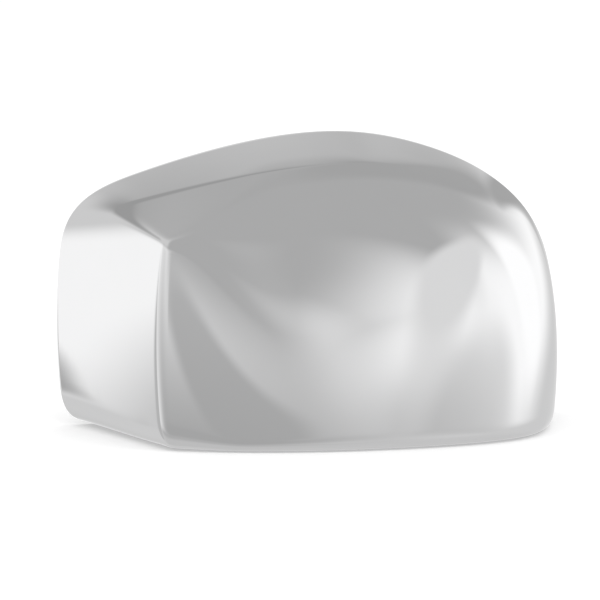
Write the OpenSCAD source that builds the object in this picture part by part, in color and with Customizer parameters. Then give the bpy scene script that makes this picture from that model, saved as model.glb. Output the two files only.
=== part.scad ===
// Wing mirror cover: one moulded shell, open at the back.
// X runs along the width, Z is up and the front faces -Y. The rear rim lies in the plane y = 0,
// and the underside, on which the cover stands, lies at z = 0.
//
// Five crowned walls make the outer skin: a top, an inboard end on the left, an outboard end on
// the right, an underside and a front. Each is a signed distance, negative inside the cover.
// Rounded meetings of these walls give the skin, and the same walls set inwards give its inside.

/* [Overall] */
// Width across the rear rim
width = 233; // [215:1:255]
// Height of the rear rim at its peak
height = 132.5; // [120:0.5:145]
// Depth from the rear rim to the foremost point of the front
depth = 92; // [82:1:104]
// Thickness of the moulded wall
wall = 2.6; // [2:0.1:3.4]

/* [Top] */
// Place of the peak, to the right of the middle
peak_x = 19; // [-10:1:45]
// Fall of the rim at the peak towards the left
left_fall = 7.1; // [4:0.1:11]
// Radius of the rim's left slope
left_slope_r = 470; // [400:5:700]
// Fall of the rim at the peak towards the right
right_fall = 14.3; // [9:0.1:17]
// Radius of the rim's right slope
right_slope_r = 287; // [240:1:400]
// Width of the peak's rounding
peak_blend = 30; // [10:1:60]
// Length of the collar behind the crease, from the rim, at the middle
collar_len = 48; // [30:1:55]
// Radius of the crease, seen from above
crease_r = 295; // [260:5:600]
// Draft of the collar
collar_draft = 11.6; // [6:0.1:13]
// Draft of the crown in front of the crease
crown_draft = 21.4; // [18:0.1:27]
// Width of the crease at its left end
crease_left = 0.5; // [0.3:0.1:6]
// Width of the crease at its right end
crease_right = 12; // [2:0.5:30]

/* [Inboard end] */
// Draft of the inboard wall
inboard_draft = 25.9; // [20:0.1:30]
// Height of the inboard wall's widest place
inboard_z = 46; // [36:1:60]
// Radius of the inboard wall, seen from behind
inboard_r = 333; // [260:1:800]
// Height at which the shoulder leaves the inboard wall
shoulder_z = 94; // [88:1:102]
// Angle of the shoulder above the inboard wall's own direction
shoulder_lean = 53; // [40:0.1:54]
// Draft of the shoulder
shoulder_draft = 9.5; // [6:0.1:16]
// Width of the rounding between inboard wall and shoulder
shoulder_blend = 16; // [10:1:40]

/* [Outboard end] */
// Draft of the outboard wall
outboard_draft = 10.9; // [6:0.1:16]
// Radius of the outboard wall, seen from behind
outboard_r = 287; // [260:1:600]
// Height of the outboard wall's widest place
outboard_z = 33; // [10:1:50]

/* [Front] */
// Radius of the front, seen from above
plan_r = 247; // [220:1:500]
// Place of the front's foremost point, to the right of the middle
plan_x = 7; // [-30:1:30]
// Radius of the front, seen from the end
side_r = 640; // [400:5:1000]
// Height of the front's foremost point
side_z = 51; // [30:1:70]

/* [Edges] */
// Width of the edge between front and top at the inboard end
brow_left = 4; // [2:0.5:12]
// Width of the edge between front and top from the middle outwards
brow_right = 56; // [30:1:80]
// Width of the edge between front and outboard end
outboard_edge = 46; // [25:1:60]
// Distance in front of the rim at which the inboard edges are as tight as at the front
edge_run = 75; // [50:1:90]
// Width of the edge between top and inboard end at the rim
inboard_edge_rim = 6; // [4:0.5:30]
// Width of the edge around the inboard end at the front
inboard_edge_front = 3; // [2:0.5:12]
// Distance in front of the rim at which the edge under the inboard end is as tight as at the front
heel_run = 60; // [30:1:80]
// Width of the edge under the inboard end at the rim
heel_rim = 22; // [14:1:50]
// Width of the edge under the inboard end at the front
heel_front = 16; // [8:0.5:30]
// Width of the edge under the front at the inboard end
chin_left = 6; // [3:0.5:15]
// Width of the edge under the front at the outboard end
chin_right = 10; // [4:0.5:30]

/* [Rim and hooks] */
// Depth of the step inside the rim that fits over the mirror head's edge
rebate_len = 4; // [2:0.5:8]
// Thickness that the step takes off the wall
rebate_t = 1; // [0.5:0.1:1.5]
// Directions of the snap hooks, seen from the middle of the rim
hook_angles = [0, 52, 128, 180, 228, 312];
// Width of a snap hook
hook_w = 14; // [8:0.5:20]
// Thickness of a snap hook's tongue
hook_t = 2; // [1.4:0.1:3]
// Thickness of a snap hook's root
hook_root = 3; // [2:0.1:4.5]
// Length of a snap hook's tongue
hook_len = 16; // [10:0.5:22]
// Gap between a snap hook's tongue and the wall at its root
hook_gap = 4; // [2.5:0.1:6]
// Height of a snap hook's barb
barb_h = 1.6; // [1:0.1:2.5]
// Distance of a snap hook's tip from the rim's plane
hook_inset = 2; // [1:0.5:6]
// Thickness of the gussets in front of a snap hook's root
gusset_t = 1.5; // [1:0.1:2.5]
// Length of those gussets
gusset_len = 8; // [4:0.5:14]

/* [Mesh] */
// Columns of facets along the underside, outboard end, top and inboard end
columns = [24, 22, 46, 20];
// Rows of facets from the rim to the crease
collar_rows = 5; // [3:1:8]
// Rows of facets from the crease to the front's edge
wall_rows = 8; // [5:1:12]
// Rows of facets from the front's edge to its middle
front_rows = 9; // [6:1:12]
// Rows of facets on the inside, from the rebate to the crease and on to the front's edge
inner_rows = [4, 7];

/* [Hidden] */

half = width/2;
// Height of the middle that the rows run around
hub_z = 0.45*height;
// Places between which the crease softens, and the front's edges widen
crease_span = [30, 110];
brow_span = [-78, -20];
chin_span = [-80, 80];
// How close the inboard wall is where its edge takes over from the one under the front
heel_reach = [-30, 10];
// How much an inner edge tightens, so that the wall keeps its thickness around a square corner
inner_gain = 6*(1 - 1/sqrt(2));
min_edge = 1;
// Share of each side's length that the facets are drawn towards its corners
corner_pull = 0.5;
// Power by which the rows crowd towards the front's edge
row_pull = 1.7;
// Start of a search for the skin, the step that measures its slope, and the error that ends it
far = 1.3*half;
feel = 0.01;
near_enough = 0.0005;
// Most steps in such a search, and in those for a section's corners, the front's edge and the crease
search_steps = 8;
corner_steps = 5;
brow_steps = 4;
crease_steps = 3;
// Distance inside the wall from which a hook's seat is sought
seat_reach = 20;
// Height of a hook's gussets, as a share of its tongue's distance from the wall
gusset_rise = 0.5;
// Lengths of a barb's catch and of its lead-in ramp, for each millimetre of its height
barb_catch = 1;
barb_ramp = 2;
shell_color = [0.80, 0.81, 0.82];

function mix(a, b, t) = a + (b - a)*t;
function smooth(v, a, b) = let (t = min(max((v - a)/(b - a), 0), 1)) t*t*(3 - 2*t);
// Fall of an arc of radius r at the distance d from its top
function sag(d, r) = d*d/(2*r);
// The larger of a and b, rounded over the width k where they are alike
function blend(a, b, k) = let (h = max(1 - abs(a - b)/k, 0)) max(a, b) + k*h*h*h/6;
// Distance from a wall with the outline distance o, which leans inwards by a towards the front
function drafted(o, y, a) = o*cos(a) - y*sin(a);
// Width of an edge at the depth w below the skin
function tight(k, w) = max(k - inner_gain*w, min_edge);

// The five walls
function left_slope(x, z) =
    -(x - peak_x)*sin(left_fall) + (z - height)*cos(left_fall) + sag(x - peak_x, left_slope_r);
function right_slope(x, z) =
    (x - peak_x)*sin(right_fall) + (z - height)*cos(right_fall) + sag(x - peak_x, right_slope_r);
// Distance of the crease from the rim at x, and the fall of the top wall from the rim to it
function collar_at(x) = collar_len - sag(x, crease_r);
function collar_fall(x) = collar_at(x)*tan(collar_draft);
function top_wall(p) = let (
    o = blend(left_slope(p.x, p.z), right_slope(p.x, p.z), peak_blend) - peak_blend/6,
    crease = mix(crease_left, crease_right, smooth(p.x, crease_span[0], crease_span[1])))
    blend(drafted(o, p.y, collar_draft),
        drafted(o + collar_fall(p.x), p.y + collar_at(p.x), crown_draft), crease);
function inboard_in(z) = sag(z - inboard_z, inboard_r);
function inboard_wall(p) = let (
    o = -p.x - half + inboard_in(p.z),
    s = -(p.x + half)*cos(shoulder_lean) + (p.z - shoulder_z)*sin(shoulder_lean))
    blend(drafted(o, p.y, inboard_draft), drafted(s, p.y, shoulder_draft), shoulder_blend);
function outboard_in(z) = sag(z - outboard_z, outboard_r);
function outboard_wall(p) = drafted(p.x - half + outboard_in(p.z), p.y, outboard_draft);
function under_wall(p) = -p.z;
function front_depth(x, z) = depth - sag(x - plan_x, plan_r) - sag(z - side_z, side_r);
function front_wall(p) = -p.y - front_depth(p.x, p.z);

// The outer skin, and at w below it the inside of the wall
function skin(p, w) = let (
    top = top_wall(p),
    inboard = inboard_wall(p),
    outboard = outboard_wall(p),
    front = front_wall(p),
    brow = mix(brow_left, brow_right, smooth(p.x, brow_span[0], brow_span[1])),
    chin = mix(chin_left, chin_right, smooth(p.x, chin_span[0], chin_span[1])),
    heel = mix(heel_rim, heel_front, smooth(-p.y, 0, heel_run)),
    inboard_edge = mix(inboard_edge_rim, inboard_edge_front, smooth(-p.y, 0, edge_run)),
    beside = smooth(inboard - max(front, outboard), heel_reach[0], heel_reach[1]),
    a = blend(front, top, tight(brow, w)),
    b = blend(a, outboard, tight(outboard_edge, w)),
    c = blend(b, inboard, tight(inboard_edge, w)))
    blend(c, under_wall(p), tight(mix(chin, heel, beside), w)) + w;

// Distance at which a ray from o along d leaves the skin at w, found from outside by Newton's rule
function reach(o, d, w, t = far, n = search_steps) = let (v = skin(o + t*d, w))
    n == 0 || abs(v) < near_enough ? t : let (slope = (skin(o + (t + feel)*d, w) - v)/feel)
    reach(o, d, w, t - v/slope, n - 1);
function hit(o, d, w) = o + reach(o, d, w)*d;

// Corners of a section at y, as [x, z], before they are rounded
function top_fall(x, y) =
    min(y*tan(collar_draft), (y + collar_at(x))*tan(crown_draft) - collar_fall(x));
function left_top_z(x, y) = height
    + (top_fall(x, y) + (x - peak_x)*sin(left_fall) - sag(x - peak_x, left_slope_r))/cos(left_fall);
function right_top_z(x, y) = height
    + (top_fall(x, y) - (x - peak_x)*sin(right_fall) - sag(x - peak_x, right_slope_r))/cos(right_fall);
function inboard_x(z, y) = -half + inboard_in(z) - y*tan(inboard_draft);
function outboard_x(z, y) = half - outboard_in(z) + y*tan(outboard_draft);
function left_top(y, z, n = corner_steps) = let (x = inboard_x(z, y))
    n == 0 ? [x, z] : left_top(y, left_top_z(x, y), n - 1);
function right_top(y, z, n = corner_steps) = let (x = outboard_x(z, y))
    n == 0 ? [x, z] : right_top(y, right_top_z(x, y), n - 1);
function corners(y) = [[inboard_x(0, y), 0], [outboard_x(0, y), 0], right_top(y, hub_z), left_top(y, hub_z)];

// Columns: each is a side's number and its share of that side, drawn towards the corners
function crowd(u) = u - corner_pull*sin(360*u)/(2*PI);
column = [for (side = [0:3]) for (i = [0:columns[side] - 1]) [side, crowd(i/columns[side])]];
ring = len(column);
function aim(c, y) = let (q = corners(y)) mix(q[column[c][0]], q[(column[c][0] + 1)%4], column[c][1]);
function toward(q, fall) = let (d = [q[0], -fall, q[1] - hub_z]) d/norm(d);

// The place where column c turns from its wall into the front
function brow_y(c, y = -depth/2, n = brow_steps) = n == 0 ? y : let (q = aim(c, y))
    brow_y(c, -front_depth(q[0], q[1]), n - 1);
function turn(c, y, w) = let (q = aim(c, y), r = norm([q[0], q[1] - hub_z]))
    hit([0, y + r, hub_z], toward(q, r), w);

// Rings of points: along the walls from the rim forwards, then inwards over the front
function wall_point(c, share, turns, w) =
    hit([0, share*turns[c].y, hub_z], toward(aim(c, share*brows[c]), 0), w);
function level_ring(y, w) = [for (c = [0:ring - 1]) hit([0, y, hub_z], toward(aim(c, y), 0), w)];
function front_ring(s, turns, w) = [for (c = [0:ring - 1])
    hit([mix(turns[c].x, 0, s), 0, mix(turns[c].z, hub_z, s)], [0, -1, 0], w)];

brows = [for (c = [0:ring - 1]) brow_y(c)];
outer_turn = [for (c = [0:ring - 1]) turn(c, brows[c], 0)];
inner_turn = [for (c = [0:ring - 1]) turn(c, brows[c], wall)];
// Share of the way to the front's edge at which column c crosses the crease, at w below the skin
function crease_share(c, turns, w, share = 0.5, n = crease_steps) = n == 0 ? share : let (
    y = w*tan((collar_draft + crown_draft)/2) - collar_at(wall_point(c, share, turns, w).x))
    crease_share(c, turns, w, y/turns[c].y, n - 1);
outer_crease = [for (c = [0:ring - 1]) crease_share(c, outer_turn, 0)];
inner_crease = [for (c = [0:ring - 1]) crease_share(c, inner_turn, wall)];
function to_edge(u) = 1 - pow(1 - u, row_pull);
function from_edge(u) = pow(u, row_pull);

outer_rings = [
    for (j = [0:collar_rows - 1]) [for (c = [0:ring - 1])
        wall_point(c, mix(0, outer_crease[c], j/collar_rows), outer_turn, 0)],
    for (j = [0:wall_rows]) [for (c = [0:ring - 1])
        wall_point(c, mix(outer_crease[c], 1, to_edge(j/wall_rows)), outer_turn, 0)],
    for (j = [1:front_rows - 1]) front_ring(from_edge(j/front_rows), outer_turn, 0)];
rim_wall = wall - rebate_t;
rebate_end = rebate_len + rebate_t;
// Share of the way to the front's edge at which the inner rows start, in column c
function past_rebate(c) = rebate_end/-inner_turn[c].y;
inner_rings = [
    level_ring(0, rim_wall),
    level_ring(-rebate_len, rim_wall),
    for (j = [0:inner_rows[0] - 1]) [for (c = [0:ring - 1])
        wall_point(c, mix(past_rebate(c), inner_crease[c], j/inner_rows[0]), inner_turn, wall)],
    for (j = [0:inner_rows[1]]) [for (c = [0:ring - 1])
        wall_point(c, mix(inner_crease[c], 1, to_edge(j/inner_rows[1])), inner_turn, wall)],
    for (j = [1:front_rows - 2]) front_ring(from_edge(j/(front_rows - 1)), inner_turn, wall)];

function flat(rings) = [for (r = rings) for (p = r) p];
// Facets between neighbouring rings, with their outside seen from outside the loop
function skirt(rows, start, inward) = [for (j = [0:rows - 2]) for (i = [0:ring - 1])
    let (a = start + j*ring + i, b = start + j*ring + (i + 1)%ring)
    each inward ? [[a, b, b + ring], [a, b + ring, a + ring]] : [[b, a, b + ring], [a, a + ring, b + ring]]];
function cap(start, tip, inward) = [for (i = [0:ring - 1])
    let (a = start + i, b = start + (i + 1)%ring) inward ? [a, b, tip] : [b, a, tip]];

module moulding() {
    outer = flat(outer_rings);
    inner = flat(inner_rings);
    outer_tip = len(outer);
    inner_start = outer_tip + 1;
    inner_tip = inner_start + len(inner);
    hub = [0, 0, hub_z];
    forward = [0, -1, 0];
    polyhedron(
        points = concat(outer, [hit(hub, forward, 0)], inner, [hit(hub, forward, wall)]),
        faces = concat(
            skirt(len(outer_rings), 0, false),
            cap(outer_tip - ring, outer_tip, false),
            skirt(len(inner_rings), inner_start, true),
            cap(inner_tip - ring, inner_tip, true),
            [for (i = [0:ring - 1]) let (a = i, b = (i + 1)%ring)
                each [[a, b, inner_start + b], [a, inner_start + b, inner_start + a]]]),
        convexity = 4);
}

// A snap hook: a tongue on a root with two gussets, drawn along Y as it leaves the mould
module snap_hook(angle) {
    out = [cos(angle), 0, sin(angle)];
    side = [-sin(angle), 0, cos(angle)]*hook_w/2;
    hub = [0, 0, hub_z];
    root_y = -hook_inset - hook_len;
    foot_y = root_y - hook_root;
    a = hit(hub + side + [0, root_y, 0], out, wall);
    b = hit(hub - side + [0, root_y, 0], out, wall);
    seat = (a + b)/2;
    normal = cross(b - a, [0, 1, 0])/norm(b - a);
    turn = atan2(normal.x, normal.z);
    // Distance from the seat to the middle of the wall at y
    function into_wall(y) =
        reach([seat.x, y, seat.z] - seat_reach*normal, normal, wall/2) - seat_reach;
    tongue = -hook_gap - hook_t;
    translate([seat.x, 0, seat.z]) rotate([0, turn, 0]) rotate([90, 0, 90]) {
        linear_extrude(height = hook_w, center = true) polygon([
            [foot_y, into_wall(foot_y)],
            [foot_y, tongue],
            [-hook_inset - barb_h*(barb_ramp + barb_catch), tongue],
            [-hook_inset - barb_h*barb_ramp, tongue - barb_h],
            [-hook_inset, tongue],
            [-hook_inset, -hook_gap],
            [root_y, -hook_gap],
            [root_y, into_wall(root_y)]]);
        for (end = [-1, 1]) translate([0, 0, end*(hook_w - gusset_t)/2])
            linear_extrude(height = gusset_t, center = true) polygon([
                [foot_y, into_wall(foot_y)],
                [foot_y - gusset_len, into_wall(foot_y - gusset_len)],
                [foot_y, tongue*gusset_rise]]);
    }
}

module cover_shell() {
    color(shell_color) union() {
        moulding();
        for (angle = hook_angles) snap_hook(angle);
    }
}

cover_shell();
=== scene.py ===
import math

import bmesh
import bpy
import numpy as np
from mathutils import Matrix, Vector


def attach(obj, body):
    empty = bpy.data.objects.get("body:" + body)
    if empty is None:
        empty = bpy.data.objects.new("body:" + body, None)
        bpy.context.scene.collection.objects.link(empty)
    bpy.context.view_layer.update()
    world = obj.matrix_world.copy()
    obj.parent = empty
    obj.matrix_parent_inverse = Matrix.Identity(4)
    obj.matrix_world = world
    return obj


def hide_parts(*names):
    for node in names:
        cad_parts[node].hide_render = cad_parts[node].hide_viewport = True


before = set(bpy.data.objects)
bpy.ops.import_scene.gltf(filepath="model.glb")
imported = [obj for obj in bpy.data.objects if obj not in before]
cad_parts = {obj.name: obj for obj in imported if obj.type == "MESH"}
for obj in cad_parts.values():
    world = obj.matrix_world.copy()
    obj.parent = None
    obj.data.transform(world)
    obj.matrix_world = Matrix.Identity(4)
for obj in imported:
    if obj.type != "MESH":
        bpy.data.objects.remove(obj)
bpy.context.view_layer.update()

# Chrome-plated wing mirror cover: a thin crowned shell with snap hooks inside its rim.
# X runs from the inboard to the outboard end, the front faces -Y, and the rim stands in the plane Y = 0.
# Lengths are millimetres down to the studio, and the meshes are scaled to metres when they are made.
MM = 0.001

# Overall sizes, the same as the solid's
WIDTH = 233.0
HEIGHT = 132.5
DEPTH = 92.0
WALL = 2.6
HALF = WIDTH / 2

# Top: two crowned slopes that meet at a peak, a collar behind a crease and a crown in front of it
PEAK_X = 19.0
PEAK_BLEND = 30.0
LEFT_FALL = math.radians(7.1)
LEFT_SLOPE_R = 470.0
RIGHT_FALL = math.radians(14.3)
RIGHT_SLOPE_R = 287.0
COLLAR_LEN = 48.0
CREASE_R = 295.0
COLLAR_DRAFT = math.radians(11.6)
CROWN_DRAFT = math.radians(21.4)
CREASE = (0.5, 12.0)
CREASE_SPAN = (30.0, 110.0)

# Inboard end, with its shoulder, and outboard end
INBOARD_DRAFT = math.radians(25.9)
INBOARD_Z = 46.0
INBOARD_R = 333.0
SHOULDER_Z = 94.0
SHOULDER_LEAN = math.radians(53.0)
SHOULDER_DRAFT = math.radians(9.5)
SHOULDER_BLEND = 16.0
OUTBOARD_DRAFT = math.radians(10.9)
OUTBOARD_R = 287.0
OUTBOARD_Z = 33.0

# Front
PLAN_R = 247.0
PLAN_X = 7.0
SIDE_R = 640.0
SIDE_Z = 51.0

# Widths of the rounded edges between the walls, and the spans over which they change
BROW = (4.0, 56.0)
BROW_SPAN = (-78.0, -20.0)
OUTBOARD_EDGE = 46.0
INBOARD_EDGE = (6.0, 3.0)
EDGE_RUN = 75.0
HEEL = (22.0, 16.0)
HEEL_RUN = 60.0
HEEL_REACH = (-30.0, 10.0)
CHIN = (6.0, 10.0)
CHIN_SPAN = (-80.0, 80.0)
MIN_EDGE = 1.0

# Where two walls' distances are alike, their blend exceeds them by this share of its width
BLEND_RISE = 1 / 6
# Width that an edge loses for each millimetre inwards, so that the wall is as thick there as elsewhere
INNER_GAIN = (1 - 1 / math.sqrt(2)) / BLEND_RISE

# Rim and snap hooks
REBATE_LEN = 4.0
REBATE_T = 1.0
RIM_WALL = WALL - REBATE_T
RIM_ROUND = 0.4
HOOK_ANGLES = (0, 52, 128, 180, 228, 312)
HOOK_W = 14.0
HOOK_T = 2.0
HOOK_ROOT = 3.0
HOOK_LEN = 16.0
HOOK_GAP = 4.0
HOOK_INSET = 2.0
HOOK_ROUND = 0.35
BARB_H = 1.6
BARB_CATCH = 1.0
BARB_RAMP = 2.0
GUSSET_T = 1.5
GUSSET_LEN = 8.0
GUSSET_RISE = 0.5
GUSSET_LAP = 1.0
GUSSET_ROUND = 0.2
SEAT_REACH = 20.0

# Fineness of the mesh: its columns along the underside, outboard end, top and inboard end, its rows
# over each stretch, and how strongly both crowd towards the corners and creases
COLUMNS = (64, 60, 136, 56)
COLLAR_ROWS = 34
WALL_ROWS = 62
FRONT_ROWS = 54
INNER_COLLAR_ROWS = 16
INNER_WALL_ROWS = 24
INNER_FRONT_ROWS = 24
ROUND_ROWS = 4
BEVEL_ROWS = 3
CORNER_PULL = 0.7
CREASE_PULL = 0.85
ROW_PULL = 1.7
SHELL_SHARP = math.radians(32)
HOOK_SHARP = math.radians(40)

# The columns point away from an axis at this height. Rays along them start far outside the skin.
HUB_Z = 0.45 * HEIGHT
FAR = 1.3 * HALF
FEEL = 0.01
SEARCH_STEPS = 10
CORNER_STEPS = 5
EDGE_STEPS = 4


def mix(a, b, t):
    return a + (b - a) * t


def smooth(v, a, b):
    t = np.clip((v - a) / (b - a), 0, 1)
    return t * t * (3 - 2 * t)


def sag(d, r):
    """Fall of an arc of radius r at the distance d from its top."""
    return d * d / (2 * r)


def blend(a, b, k):
    """The larger of a and b, rounded over the width k where they are alike."""
    h = np.clip(1 - np.abs(a - b) / k, 0, None)
    return np.maximum(a, b) + BLEND_RISE * k * h**3


def drafted(o, y, angle):
    """Distance from a wall with the outline distance o, which leans inwards towards the front."""
    return o * math.cos(angle) - y * math.sin(angle)


def tight(k, w):
    """Width of an edge at the depth w below the skin."""
    return np.maximum(k - INNER_GAIN * w, MIN_EDGE)


def front_depth(x, z):
    return DEPTH - sag(x - PLAN_X, PLAN_R) - sag(z - SIDE_Z, SIDE_R)


def collar_at(x):
    """Distance of the crease from the rim."""
    return COLLAR_LEN - sag(x, CREASE_R)


def collar_fall(x):
    """Height that the top loses between the rim and the crease."""
    return collar_at(x) * math.tan(COLLAR_DRAFT)


def top_wall(x, y, z):
    dx, dz = x - PEAK_X, z - HEIGHT
    left = -dx * math.sin(LEFT_FALL) + dz * math.cos(LEFT_FALL) + sag(dx, LEFT_SLOPE_R)
    right = dx * math.sin(RIGHT_FALL) + dz * math.cos(RIGHT_FALL) + sag(dx, RIGHT_SLOPE_R)
    outline = blend(left, right, PEAK_BLEND) - BLEND_RISE * PEAK_BLEND
    collar = drafted(outline, y, COLLAR_DRAFT)
    crown = drafted(outline + collar_fall(x), y + collar_at(x), CROWN_DRAFT)
    return blend(collar, crown, mix(*CREASE, smooth(x, *CREASE_SPAN)))


def inboard_wall(x, y, z):
    end = -x - HALF + sag(z - INBOARD_Z, INBOARD_R)
    shoulder = (z - SHOULDER_Z) * math.sin(SHOULDER_LEAN) - (x + HALF) * math.cos(SHOULDER_LEAN)
    return blend(drafted(end, y, INBOARD_DRAFT), drafted(shoulder, y, SHOULDER_DRAFT), SHOULDER_BLEND)


def outboard_wall(x, y, z):
    return drafted(x - HALF + sag(z - OUTBOARD_Z, OUTBOARD_R), y, OUTBOARD_DRAFT)


def skin(p, w):
    """Distance outside the cover's skin, set inwards by w."""
    x, y, z = p[..., 0], p[..., 1], p[..., 2]
    front = -y - front_depth(x, z)
    inboard = inboard_wall(x, y, z)
    outboard = outboard_wall(x, y, z)
    brow = mix(*BROW, smooth(x, *BROW_SPAN))
    chin = mix(*CHIN, smooth(x, *CHIN_SPAN))
    heel = mix(*HEEL, smooth(-y, 0, HEEL_RUN))
    inboard_edge = mix(*INBOARD_EDGE, smooth(-y, 0, EDGE_RUN))
    beside = smooth(inboard - np.maximum(front, outboard), *HEEL_REACH)
    d = blend(front, top_wall(x, y, z), tight(brow, w))
    d = blend(d, outboard, tight(OUTBOARD_EDGE, w))
    d = blend(d, inboard, tight(inboard_edge, w))
    return blend(d, -z, tight(mix(chin, heel, beside), w)) + w


def reach(o, d, w):
    """Distances at which rays from o along d leave the skin at w, by Newton's rule from outside."""
    t = np.full(np.broadcast(o[..., 0], d[..., 0]).shape, FAR)
    for _ in range(SEARCH_STEPS):
        v = skin(o + t[..., None] * d, w)
        slope = (skin(o + (t + FEEL)[..., None] * d, w) - v) / FEEL
        t = t - v / slope
    return t


def hit(o, d, w):
    """Points at which rays from o along d leave the skin at w."""
    return o + reach(o, d, w)[..., None] * d


def top_rise(x, y):
    """Rise of the top from the rim to y, which is negative in front of the rim."""
    crown = (y + collar_at(x)) * math.tan(CROWN_DRAFT) - collar_fall(x)
    return np.minimum(y * math.tan(COLLAR_DRAFT), crown)


def corners(y):
    """Corners of the sections at y, before they are rounded, from the lower left one against the clock."""

    def inboard_x(z):
        return -HALF + sag(z - INBOARD_Z, INBOARD_R) - y * math.tan(INBOARD_DRAFT)

    def outboard_x(z):
        return HALF - sag(z - OUTBOARD_Z, OUTBOARD_R) + y * math.tan(OUTBOARD_DRAFT)

    left_z = np.full(y.shape, HUB_Z)
    right_z = np.full(y.shape, HUB_Z)
    for _ in range(CORNER_STEPS):
        x = inboard_x(left_z)
        dx = x - PEAK_X
        rise = top_rise(x, y) + dx * math.sin(LEFT_FALL) - sag(dx, LEFT_SLOPE_R)
        left_z = HEIGHT + rise / math.cos(LEFT_FALL)
        x = outboard_x(right_z)
        dx = x - PEAK_X
        rise = top_rise(x, y) - dx * math.sin(RIGHT_FALL) - sag(dx, RIGHT_SLOPE_R)
        right_z = HEIGHT + rise / math.cos(RIGHT_FALL)
    low = np.zeros(y.shape)
    xs = [inboard_x(low), outboard_x(low), outboard_x(right_z), inboard_x(left_z)]
    return np.stack([np.stack(xs), np.stack([low, low, right_z, left_z])], -1)


# Each column's side of the section, and its share of the way along that side
SIDE = np.repeat(np.arange(4), COLUMNS)
SHARE = np.concatenate([np.arange(n) / n for n in COLUMNS])
SHARE = SHARE - CORNER_PULL * np.sin(2 * np.pi * SHARE) / (2 * np.pi)
RING = len(SHARE)
COLUMN = np.arange(RING)


def aim(y):
    """Where each column points in the section at its own y."""
    q = corners(y)
    return mix(q[SIDE, COLUMN], q[(SIDE + 1) % 4, COLUMN], SHARE[:, None])


def toward(q, fall):
    """Directions from the axis to the points q of a section, which run forwards by fall on the way."""
    d = np.stack([q[:, 0], -fall, q[:, 1] - HUB_Z], -1)
    return d / np.linalg.norm(d, axis=1, keepdims=True)


def hubs(y):
    """Points on the axis at y, one for each column."""
    return np.stack([np.zeros(RING), y, np.full(RING, HUB_Z)], -1)


def front_edge():
    """Where the columns' aims meet the front."""
    y = np.full(RING, -DEPTH / 2)
    for _ in range(EDGE_STEPS):
        section = aim(y)
        y = -front_depth(section[:, 0], section[:, 1])
    return y


EDGE_Y = front_edge()


def turns(w):
    """Where each column turns from its wall into the front."""
    q = aim(EDGE_Y)
    r = np.hypot(q[:, 0], q[:, 1] - HUB_Z)
    return hit(hubs(EDGE_Y + r), toward(q, r), w)


def wall_ring(share, turn, w):
    """Ring over the walls at a share of the way from the rim to the turn into the front."""
    return hit(hubs(share * turn[:, 1]), toward(aim(share * EDGE_Y), np.zeros(RING)), w)


def level_ring(y, w):
    """Ring over the walls at one distance from the rim."""
    y = np.full(RING, float(y))
    return hit(hubs(y), toward(aim(y), np.zeros(RING)), w)


def front_ring(share, turn, w):
    """Ring over the front at a share of the way from the turn to the middle."""
    o = np.stack([mix(turn[:, 0], 0, share), np.zeros(RING), mix(turn[:, 2], HUB_Z, share)], -1)
    return hit(o, np.array([0.0, -1.0, 0.0]), w)


def front_tip(w):
    """Middle of the front."""
    return hit(np.array([[0.0, 0.0, HUB_Z]]), np.array([[0.0, -1.0, 0.0]]), w)


def crease_shares(turn, w):
    """Share of the way to the front's edge at which each column crosses the crease."""
    share = np.full(RING, 0.5)
    for _ in range(EDGE_STEPS):
        x = wall_ring(share, turn, w)[:, 0]
        share = (w * math.tan((COLLAR_DRAFT + CROWN_DRAFT) / 2) - collar_at(x)) / turn[:, 1]
    return share


def to_edge(u):
    """Shares that crowd towards their end."""
    return 1 - (1 - u) ** ROW_PULL


def from_edge(u):
    """Shares that crowd towards their start."""
    return u**ROW_PULL


def from_both(u):
    """Shares that crowd towards both ends."""
    return u - CREASE_PULL * math.sin(2 * math.pi * u) / (2 * math.pi)


def rim_round(outer):
    """Rings over a rounded edge of the rim, in the order from the outside over the rim to the inside."""
    rings = []
    for turn in np.linspace(0, math.pi / 2, ROUND_ROWS + 1):
        y = -RIM_ROUND * (1 - math.sin(turn))
        w = RIM_ROUND * (1 - math.cos(turn))
        rings.append(level_ring(y, w if outer else RIM_WALL - w))
    return rings if outer else rings[::-1]


def outside_rings():
    """Rings from the middle of the front over the walls to the rim."""
    turn = turns(0.0)
    crease = crease_shares(turn, 0.0)
    rings = []
    for j in range(FRONT_ROWS - 1, 0, -1):
        rings.append(front_ring(from_edge(j / FRONT_ROWS), turn, 0.0))
    for j in range(WALL_ROWS, 0, -1):
        rings.append(wall_ring(mix(crease, 1, from_both(j / WALL_ROWS)), turn, 0.0))
    for j in range(COLLAR_ROWS, 0, -1):
        rings.append(wall_ring(crease * to_edge(j / COLLAR_ROWS), turn, 0.0))
    return rings + rim_round(True)


def inside_rings():
    """Rings from the rim over its step and the inner walls to the middle of the front."""
    turn = turns(WALL)
    crease = crease_shares(turn, WALL)
    step = -(REBATE_LEN + REBATE_T) / turn[:, 1]
    rings = rim_round(False) + [level_ring(-REBATE_LEN, RIM_WALL)]
    for j in range(INNER_COLLAR_ROWS):
        rings.append(wall_ring(mix(step, crease, to_edge(j / INNER_COLLAR_ROWS)), turn, WALL))
    for j in range(INNER_WALL_ROWS + 1):
        rings.append(wall_ring(mix(crease, 1, from_both(j / INNER_WALL_ROWS)), turn, WALL))
    for j in range(1, INNER_FRONT_ROWS):
        rings.append(front_ring(from_edge(j / INNER_FRONT_ROWS), turn, WALL))
    return rings


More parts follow.
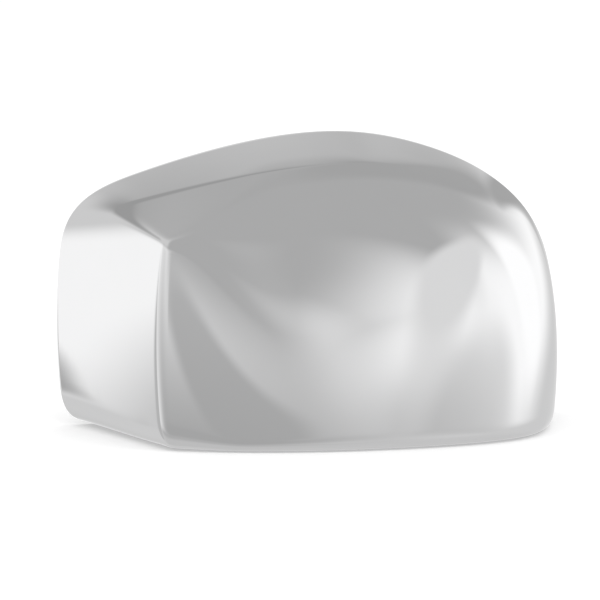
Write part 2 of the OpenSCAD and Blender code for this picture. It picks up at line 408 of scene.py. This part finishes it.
def shell_mesh():
    """The skin outside and inside as one closed mesh, with the second material inside."""
    outside = outside_rings()
    rings = outside + inside_rings()
    points = np.concatenate([front_tip(0.0), *rings, front_tip(WALL)]) * MM
    a = COLUMN
    b = (COLUMN + 1) % RING
    tip = len(points) - 1
    last = tip - RING
    faces = np.stack([0 * a, 1 + b, 1 + a], -1).tolist()
    for row in range(len(rings) - 1):
        here = 1 + row * RING
        faces += np.stack([here + a, here + b, here + RING + b, here + RING + a], -1).tolist()
    faces += np.stack([last + a, last + b, 0 * a + tip], -1).tolist()
    mesh = bpy.data.meshes.new("cover_skin")
    mesh.from_pydata(points.tolist(), [], faces)
    inner = np.arange(len(faces)) >= RING * (1 + len(outside))
    mesh.polygons.foreach_set("material_index", inner.astype(np.int32))
    mesh.polygons.foreach_set("use_smooth", np.ones(len(faces), bool))
    mesh.set_sharp_from_angle(angle=SHELL_SHARP)
    mesh.validate()
    mesh.update()
    return mesh


def add_prism(bm, place, outline, low, high, rounding):
    """Adds a prism with rounded edges: its outline in (y, outwards), from low to high along the rim."""
    part = bmesh.new()
    ends = [[part.verts.new(place(y, n, s)) for y, n in outline] for s in (low, high)]
    part.faces.new(ends[0])
    part.faces.new(ends[1][::-1])
    count = len(outline)
    for i in range(count):
        j = (i + 1) % count
        part.faces.new([ends[0][j], ends[0][i], ends[1][i], ends[1][j]])
    bmesh.ops.recalc_face_normals(part, faces=part.faces)
    bmesh.ops.bevel(
        part, geom=part.edges[:], offset=rounding * MM, segments=BEVEL_ROWS, profile=0.5, affect="EDGES"
    )
    spare = bpy.data.meshes.new("hook_part")
    part.to_mesh(spare)
    part.free()
    bm.from_mesh(spare)
    bpy.data.meshes.remove(spare)


def add_hook(bm, angle):
    """Adds a snap hook at an angle round the axis: a tongue with a barb, on a root with two gussets."""
    out = np.array([math.cos(angle), 0.0, math.sin(angle)])
    half_side = np.array([-math.sin(angle), 0.0, math.cos(angle)]) * HOOK_W / 2
    root_y = -HOOK_INSET - HOOK_LEN
    foot_y = root_y - HOOK_ROOT
    hub = np.array([0.0, root_y, HUB_Z])
    a = hit(hub + half_side, out, WALL)
    b = hit(hub - half_side, out, WALL)
    seat = (a + b) / 2
    normal = np.cross(b - a, [0.0, 1.0, 0.0])
    normal /= np.linalg.norm(normal)
    along = np.array([normal[2], 0.0, -normal[0]])

    def place(y, n, s):
        p = np.array([seat[0], y, seat[2]]) + n * normal + s * along
        return Vector(p * MM)

    def into_wall(y):
        start = np.array([seat[0], y, seat[2]]) - SEAT_REACH * normal
        return float(reach(start, normal, WALL / 2)) - SEAT_REACH

    tongue = -HOOK_GAP - HOOK_T
    outline = [
        (foot_y, into_wall(foot_y)),
        (foot_y, tongue),
        (-HOOK_INSET - BARB_H * (BARB_RAMP + BARB_CATCH), tongue),
        (-HOOK_INSET - BARB_H * BARB_RAMP, tongue - BARB_H),
        (-HOOK_INSET, tongue),
        (-HOOK_INSET, -HOOK_GAP),
        (root_y, -HOOK_GAP),
        (root_y, into_wall(root_y)),
    ]
    add_prism(bm, place, outline, -HOOK_W / 2, HOOK_W / 2, HOOK_ROUND)
    back_y = foot_y + GUSSET_LAP
    front_y = foot_y - GUSSET_LEN
    gusset = [
        (back_y, into_wall(foot_y)),
        (front_y, into_wall(front_y)),
        (back_y, tongue * GUSSET_RISE),
    ]
    for end in (-1, 1):
        outer = end * HOOK_W / 2
        low, high = sorted((outer, outer - end * GUSSET_T))
        add_prism(bm, place, gusset, low, high, GUSSET_ROUND)


def hooks_mesh():
    bm = bmesh.new()
    for angle in HOOK_ANGLES:
        add_hook(bm, math.radians(angle))
    mesh = bpy.data.meshes.new("snap_hooks")
    bm.to_mesh(mesh)
    bm.free()
    mesh.polygons.foreach_set("use_smooth", np.ones(len(mesh.polygons), bool))
    mesh.set_sharp_from_angle(angle=HOOK_SHARP)
    return mesh


def new_piece(name, mesh, materials):
    piece = bpy.data.objects.new(name, mesh)
    bpy.context.scene.collection.objects.link(piece)
    for material in materials:
        mesh.materials.append(material)
    return piece


class Nodes:
    """A node tree that is built up one node at a time."""

    def __init__(self, tree):
        self.tree = tree
        tree.nodes.clear()

    def fill(self, socket, value):
        """Links a socket to another one's output, or sets it to a value."""
        if isinstance(value, bpy.types.NodeSocket):
            self.tree.links.new(value, socket)
        else:
            socket.default_value = value

    def add(self, kind, inputs=(), **settings):
        node = self.tree.nodes.new(kind)
        for key, value in settings.items():
            setattr(node, key, value)
        for key, value in dict(inputs).items():
            self.fill(node.inputs[key], value)
        return node

    def math(self, operation, *values):
        return self.add("ShaderNodeMath", dict(enumerate(values)), operation=operation).outputs[0]

    def dot(self, vector, constant):
        inputs = {0: vector, 1: constant}
        return self.add("ShaderNodeVectorMath", inputs, operation="DOT_PRODUCT").outputs["Value"]

    def ramp(self, value, low, high, to_low=0.0, to_high=1.0):
        inputs = {"Value": value, "From Min": low, "From Max": high, "To Min": to_low, "To Max": to_high}
        node = self.add("ShaderNodeMapRange", inputs, interpolation_type="SMOOTHSTEP")
        return node.outputs["Result"]

    def noise(self, vector, scale, detail, roughness=0.5):
        inputs = {"Vector": vector, "Scale": scale, "Detail": detail, "Roughness": roughness}
        return self.add("ShaderNodeTexNoise", inputs).outputs["Fac"]

    def mix(self, factor, a, b):
        return self.add("ShaderNodeMix", {0: factor, 2: a, 3: b}, data_type="FLOAT").outputs[0]

    def mix_color(self, factor, a, b):
        return self.add("ShaderNodeMix", {0: factor, 6: a, 7: b}, data_type="RGBA").outputs[2]


# The plating's patterns: haze, which makes it duller over its span, the moulding's swells, and dust.
# Scales are patches per metre.
HAZE_SCALE = 45.0
HAZE_DETAIL = 4.0
HAZE_ROUGHNESS = 0.6
HAZE_SPAN = (0.35, 0.75)
SWELL_SCALE = 26.0
SWELL_DETAIL = 1.0
DUST_SCALE = 900.0
DUST_DETAIL = 2.0


def plating(name, color, spread, roughness, waves, grain):
    """Plating on moulded plastic: nearly even colour, a little haze, and the moulding's faint waves.

    The haze changes the colour by spread either way and the roughness from its first value to its
    second. Waves and grain are the heights of the swells and the dust in millimetres.
    """
    material = bpy.data.materials.new(name)
    material.use_nodes = True
    n = Nodes(material.node_tree)
    where = n.add("ShaderNodeTexCoord").outputs["Object"]
    haze = n.noise(where, HAZE_SCALE, HAZE_DETAIL, HAZE_ROUGHNESS)
    low, high = (tuple(c * (1 + s) for c in color) + (1.0,) for s in (-spread, spread))
    tint = n.mix_color(haze, low, high)
    dull = n.ramp(haze, *HAZE_SPAN, *roughness)
    swell = n.math("MULTIPLY", n.noise(where, SWELL_SCALE, SWELL_DETAIL), waves)
    dust = n.math("MULTIPLY", n.noise(where, DUST_SCALE, DUST_DETAIL), grain)
    bump = n.add("ShaderNodeBump", {"Height": n.math("ADD", swell, dust), "Strength": 1.0, "Distance": MM})
    shader = n.add(
        "ShaderNodeBsdfPrincipled",
        {"Base Color": tint, "Roughness": dull, "Metallic": 1.0, "Normal": bump.outputs["Normal"]},
    )
    n.add("ShaderNodeOutputMaterial", {"Surface": shader.outputs["BSDF"]})
    return material


chrome = plating(
    "chrome",
    color=(0.90, 0.90, 0.905),
    spread=0.012,
    roughness=(0.02, 0.045),
    waves=0.005,
    grain=0.00004,
)
satin = plating(
    "chrome_inside",
    color=(0.74, 0.74, 0.75),
    spread=0.05,
    roughness=(0.26, 0.40),
    waves=0.010,
    grain=0.0008,
)

cover = new_piece("cover_skin", shell_mesh(), (chrome, satin))
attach(cover, "root")
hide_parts("cover_shell")

hooks = new_piece("snap_hooks", hooks_mesh(), (satin,))
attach(hooks, "root")

# Studio, in metres: a pale floor, even light, and a tent of soft panels that only the plating mirrors.
# Each panel is the direction it stands in, in degrees around from the front towards the right and up,
# its turn in its own plane, its half width, half height and softness, its brightness, and its bend,
# by which its ends drop below its middle. A later panel covers the ones before it.
PANELS = {
    "right_wall": (120, -20, -15, 1.20, 0.70, 0.30, 1.05, -0.1),
    "left_side": (-130, 0, 40, 1.20, 0.70, 0.25, 0.65, 0.0),
    "right_floor": (125, -27, 15, 1.20, 0.40, 0.25, 0.65, 0.2),
    "left_wall": (-67, -8, -12, 1.20, 0.30, 0.25, 1.00, 0.2),
    "left_floor": (-113, -21, -5, 0.17, 0.34, 0.25, 0.50, 2.8),
    "back_above": (-160, 39, 80, 0.15, 0.60, 0.25, 0.35, 3.0),
    "back": (-168, -7, 63, 0.37, 0.30, 0.75, 1.20, -1.6),
    "front_right_glow": (33, 1, 65, 0.32, 0.34, 1.00, 0.98, -1.2),
    "front_sweep": (-18, -14, -30, 0.30, 0.07, 0.20, 0.50, -0.9),
    "front_low_glow": (15, -20, -40, 0.32, 0.10, 1.00, 1.00, -0.2),
    "front_right_streak": (20, -10, -70, 0.07, 0.20, 1.00, 1.15, 0.0),
    "front_left_floor": (-24, -24, 84, 0.30, 0.85, 0.75, 0.41, -3.0),
    "right_band": (41, 21, 52, 0.60, 0.14, 0.25, 0.75, 0.3),
    "back_edge": (153, 10, -60, 0.20, 0.04, 0.50, 0.40, 1.0),
    "back_high": (151, 40, 80, 0.46, 0.18, 0.25, 0.40, 0.5),
    "right_high": (95, 12, -40, 0.30, 0.45, 0.25, 1.10, -2.0),
    "left_mark": (-124, -11, 85, 0.10, 0.03, 0.25, 0.40, -1.5),
    "below": (130, -65, 20, 1.00, 0.40, 0.50, 0.60, 0.1),
}
TENT_R = 3.0
TENT_SUBDIVISIONS = 5
# The tent's tone below and above its horizon, where the horizon's height is the sine of its angle
FLOOR_TONE = 0.56
CEILING_TONE = 0.44
HORIZON = -0.45
HORIZON_SOFT = 0.18
# A panel fades out below this cosine from its own direction, so that it has no twin on the far side
PANEL_FADE = 0.3
FLOOR_HALF = 4.0
FLOOR_DROP = 0.0003
FLOOR_PAINT = (0.93, 0.93, 0.93, 1.0)
# Light that the floor adds for the camera alone, so that it is as white as the backdrop
FLOOR_LIFT = 0.14
WHITE = (1.0, 1.0, 1.0, 1.0)
WORLD_LIGHT = 0.95
# Each lamp's place and its power in watts
LAMPS = {"key": ((0.6, -1.0, 1.8), 9.0), "fill": ((-1.2, -0.6, 1.5), 5.0)}
LAMP_SIZE = 1.6

# Camera: the photograph's view, from the left of the front and from above, and the frame's middle
VIEW_AROUND = -9.45
VIEW_UP = 8.14
VIEW_DISTANCE = 1.6
FRAME_WIDTH = 0.278
FRAME_RIGHT = -0.0038
FRAME_UP = 0.05404
SENSOR_WIDTH = 36.0
CLIP_END = 20.0


def view_axes(around, up):
    """Unit vectors towards a direction, and to the right and upwards as seen from there."""
    a, e = math.radians(around), math.radians(up)
    back = Vector((math.sin(a) * math.cos(e), -math.cos(a) * math.cos(e), math.sin(e)))
    right = Vector((math.cos(a), math.sin(a), 0.0))
    return back, right, back.cross(right)


def panel_mask(n, ray, around, up, turn, half_w, half_h, soft, bend):
    """How much of a panel is seen along a ray from the tent's middle."""
    facing, right, upward = view_axes(around, up)
    r = math.radians(turn)
    a = n.dot(ray, math.cos(r) * right + math.sin(r) * upward)
    b = n.dot(ray, -math.sin(r) * right + math.cos(r) * upward)
    b = n.math("ADD", b, n.math("MULTIPLY", n.math("MULTIPLY", a, a), bend))
    a = n.math("DIVIDE", a, half_w)
    b = n.math("DIVIDE", b, half_h)
    off = n.math("SQRT", n.math("ADD", n.math("MULTIPLY", a, a), n.math("MULTIPLY", b, b)))
    inside = n.ramp(off, 1 - soft, 1 + soft, 1.0, 0.0)
    ahead = n.ramp(n.dot(ray, facing), 0.0, PANEL_FADE)
    return n.math("MULTIPLY", inside, ahead)


def tent_material():
    material = bpy.data.materials.new("tent")
    material.use_nodes = True
    n = Nodes(material.node_tree)
    where = n.add("ShaderNodeTexCoord").outputs["Object"]
    ray = n.add("ShaderNodeVectorMath", {0: where}, operation="NORMALIZE").outputs[0]
    height = n.dot(ray, (0.0, 0.0, 1.0))
    tone = n.ramp(height, HORIZON - HORIZON_SOFT, HORIZON + HORIZON_SOFT, FLOOR_TONE, CEILING_TONE)
    for around, up, turn, half_w, half_h, soft, bright, bend in PANELS.values():
        mask = panel_mask(n, ray, around, up, turn, half_w, half_h, soft, bend)
        tone = n.mix(mask, tone, bright)
    glow = n.add("ShaderNodeEmission", {"Color": tone, "Strength": 1.0})
    n.add("ShaderNodeOutputMaterial", {"Surface": glow.outputs[0]})
    return material


def floor_material():
    material = bpy.data.materials.new("floor")
    material.use_nodes = True
    n = Nodes(material.node_tree)
    paint = n.add("ShaderNodeBsdfDiffuse", {"Color": FLOOR_PAINT})
    seen = n.add("ShaderNodeLightPath").outputs["Is Camera Ray"]
    lift = n.math("MULTIPLY", seen, FLOOR_LIFT)
    glow = n.add("ShaderNodeEmission", {"Color": WHITE, "Strength": lift})
    both = n.add("ShaderNodeAddShader", {0: paint.outputs[0], 1: glow.outputs[0]})
    n.add("ShaderNodeOutputMaterial", {"Surface": both.outputs[0]})
    return material


def add_tent():
    bm = bmesh.new()
    bmesh.ops.create_icosphere(bm, subdivisions=TENT_SUBDIVISIONS, radius=TENT_R)
    mesh = bpy.data.meshes.new("tent")
    bm.to_mesh(mesh)
    bm.free()
    tent = new_piece("tent", mesh, (tent_material(),))
    for kind in ("camera", "diffuse", "transmission", "volume_scatter", "shadow"):
        setattr(tent, "visible_" + kind, False)


def add_floor():
    mesh = bpy.data.meshes.new("floor")
    square = [(x * FLOOR_HALF, y * FLOOR_HALF, -FLOOR_DROP) for x, y in ((-1, -1), (1, -1), (1, 1), (-1, 1))]
    mesh.from_pydata(square, [], [(0, 1, 2, 3)])
    floor = new_piece("floor", mesh, (floor_material(),))
    floor.visible_glossy = False


def add_world():
    """Even light on the floor and the part, and plain white wherever the world itself is seen."""
    world = bpy.data.worlds.new("studio")
    bpy.context.scene.world = world
    world.use_nodes = True
    n = Nodes(world.node_tree)
    path = n.add("ShaderNodeLightPath").outputs
    seen = n.math("MAXIMUM", path["Is Camera Ray"], path["Is Glossy Ray"])
    seen = n.math("MAXIMUM", seen, path["Is Transmission Ray"])
    light = n.add("ShaderNodeBackground", {"Color": WHITE, "Strength": WORLD_LIGHT})
    white = n.add("ShaderNodeBackground", {"Color": WHITE, "Strength": 1.0})
    both = n.add("ShaderNodeMixShader", {0: seen, 1: light.outputs[0], 2: white.outputs[0]})
    n.add("ShaderNodeOutputWorld", {"Surface": both.outputs[0]})


def add_lamps():
    for name, (place, power) in LAMPS.items():
        lamp = bpy.data.lights.new(name, "AREA")
        lamp.size = LAMP_SIZE
        lamp.energy = power
        holder = bpy.data.objects.new(name, lamp)
        holder.location = place
        holder.rotation_euler = (-Vector(place)).to_track_quat("-Z", "Y").to_euler()
        holder.visible_glossy = False
        bpy.context.scene.collection.objects.link(holder)


def add_camera():
    back, right, up = view_axes(VIEW_AROUND, VIEW_UP)
    data = bpy.data.cameras.new("camera")
    data.sensor_width = SENSOR_WIDTH
    data.lens = SENSOR_WIDTH * VIEW_DISTANCE / FRAME_WIDTH
    data.clip_end = CLIP_END
    holder = bpy.data.objects.new("camera", data)
    bpy.context.scene.collection.objects.link(holder)
    place = FRAME_RIGHT * right + FRAME_UP * up + VIEW_DISTANCE * back
    turned = Matrix((right, up, back)).transposed().to_4x4()
    holder.matrix_world = Matrix.Translation(place) @ turned
    bpy.context.scene.camera = holder


add_tent()
add_floor()
add_world()
add_lamps()
add_camera()
bpy.context.scene.view_settings.view_transform = "Standard"
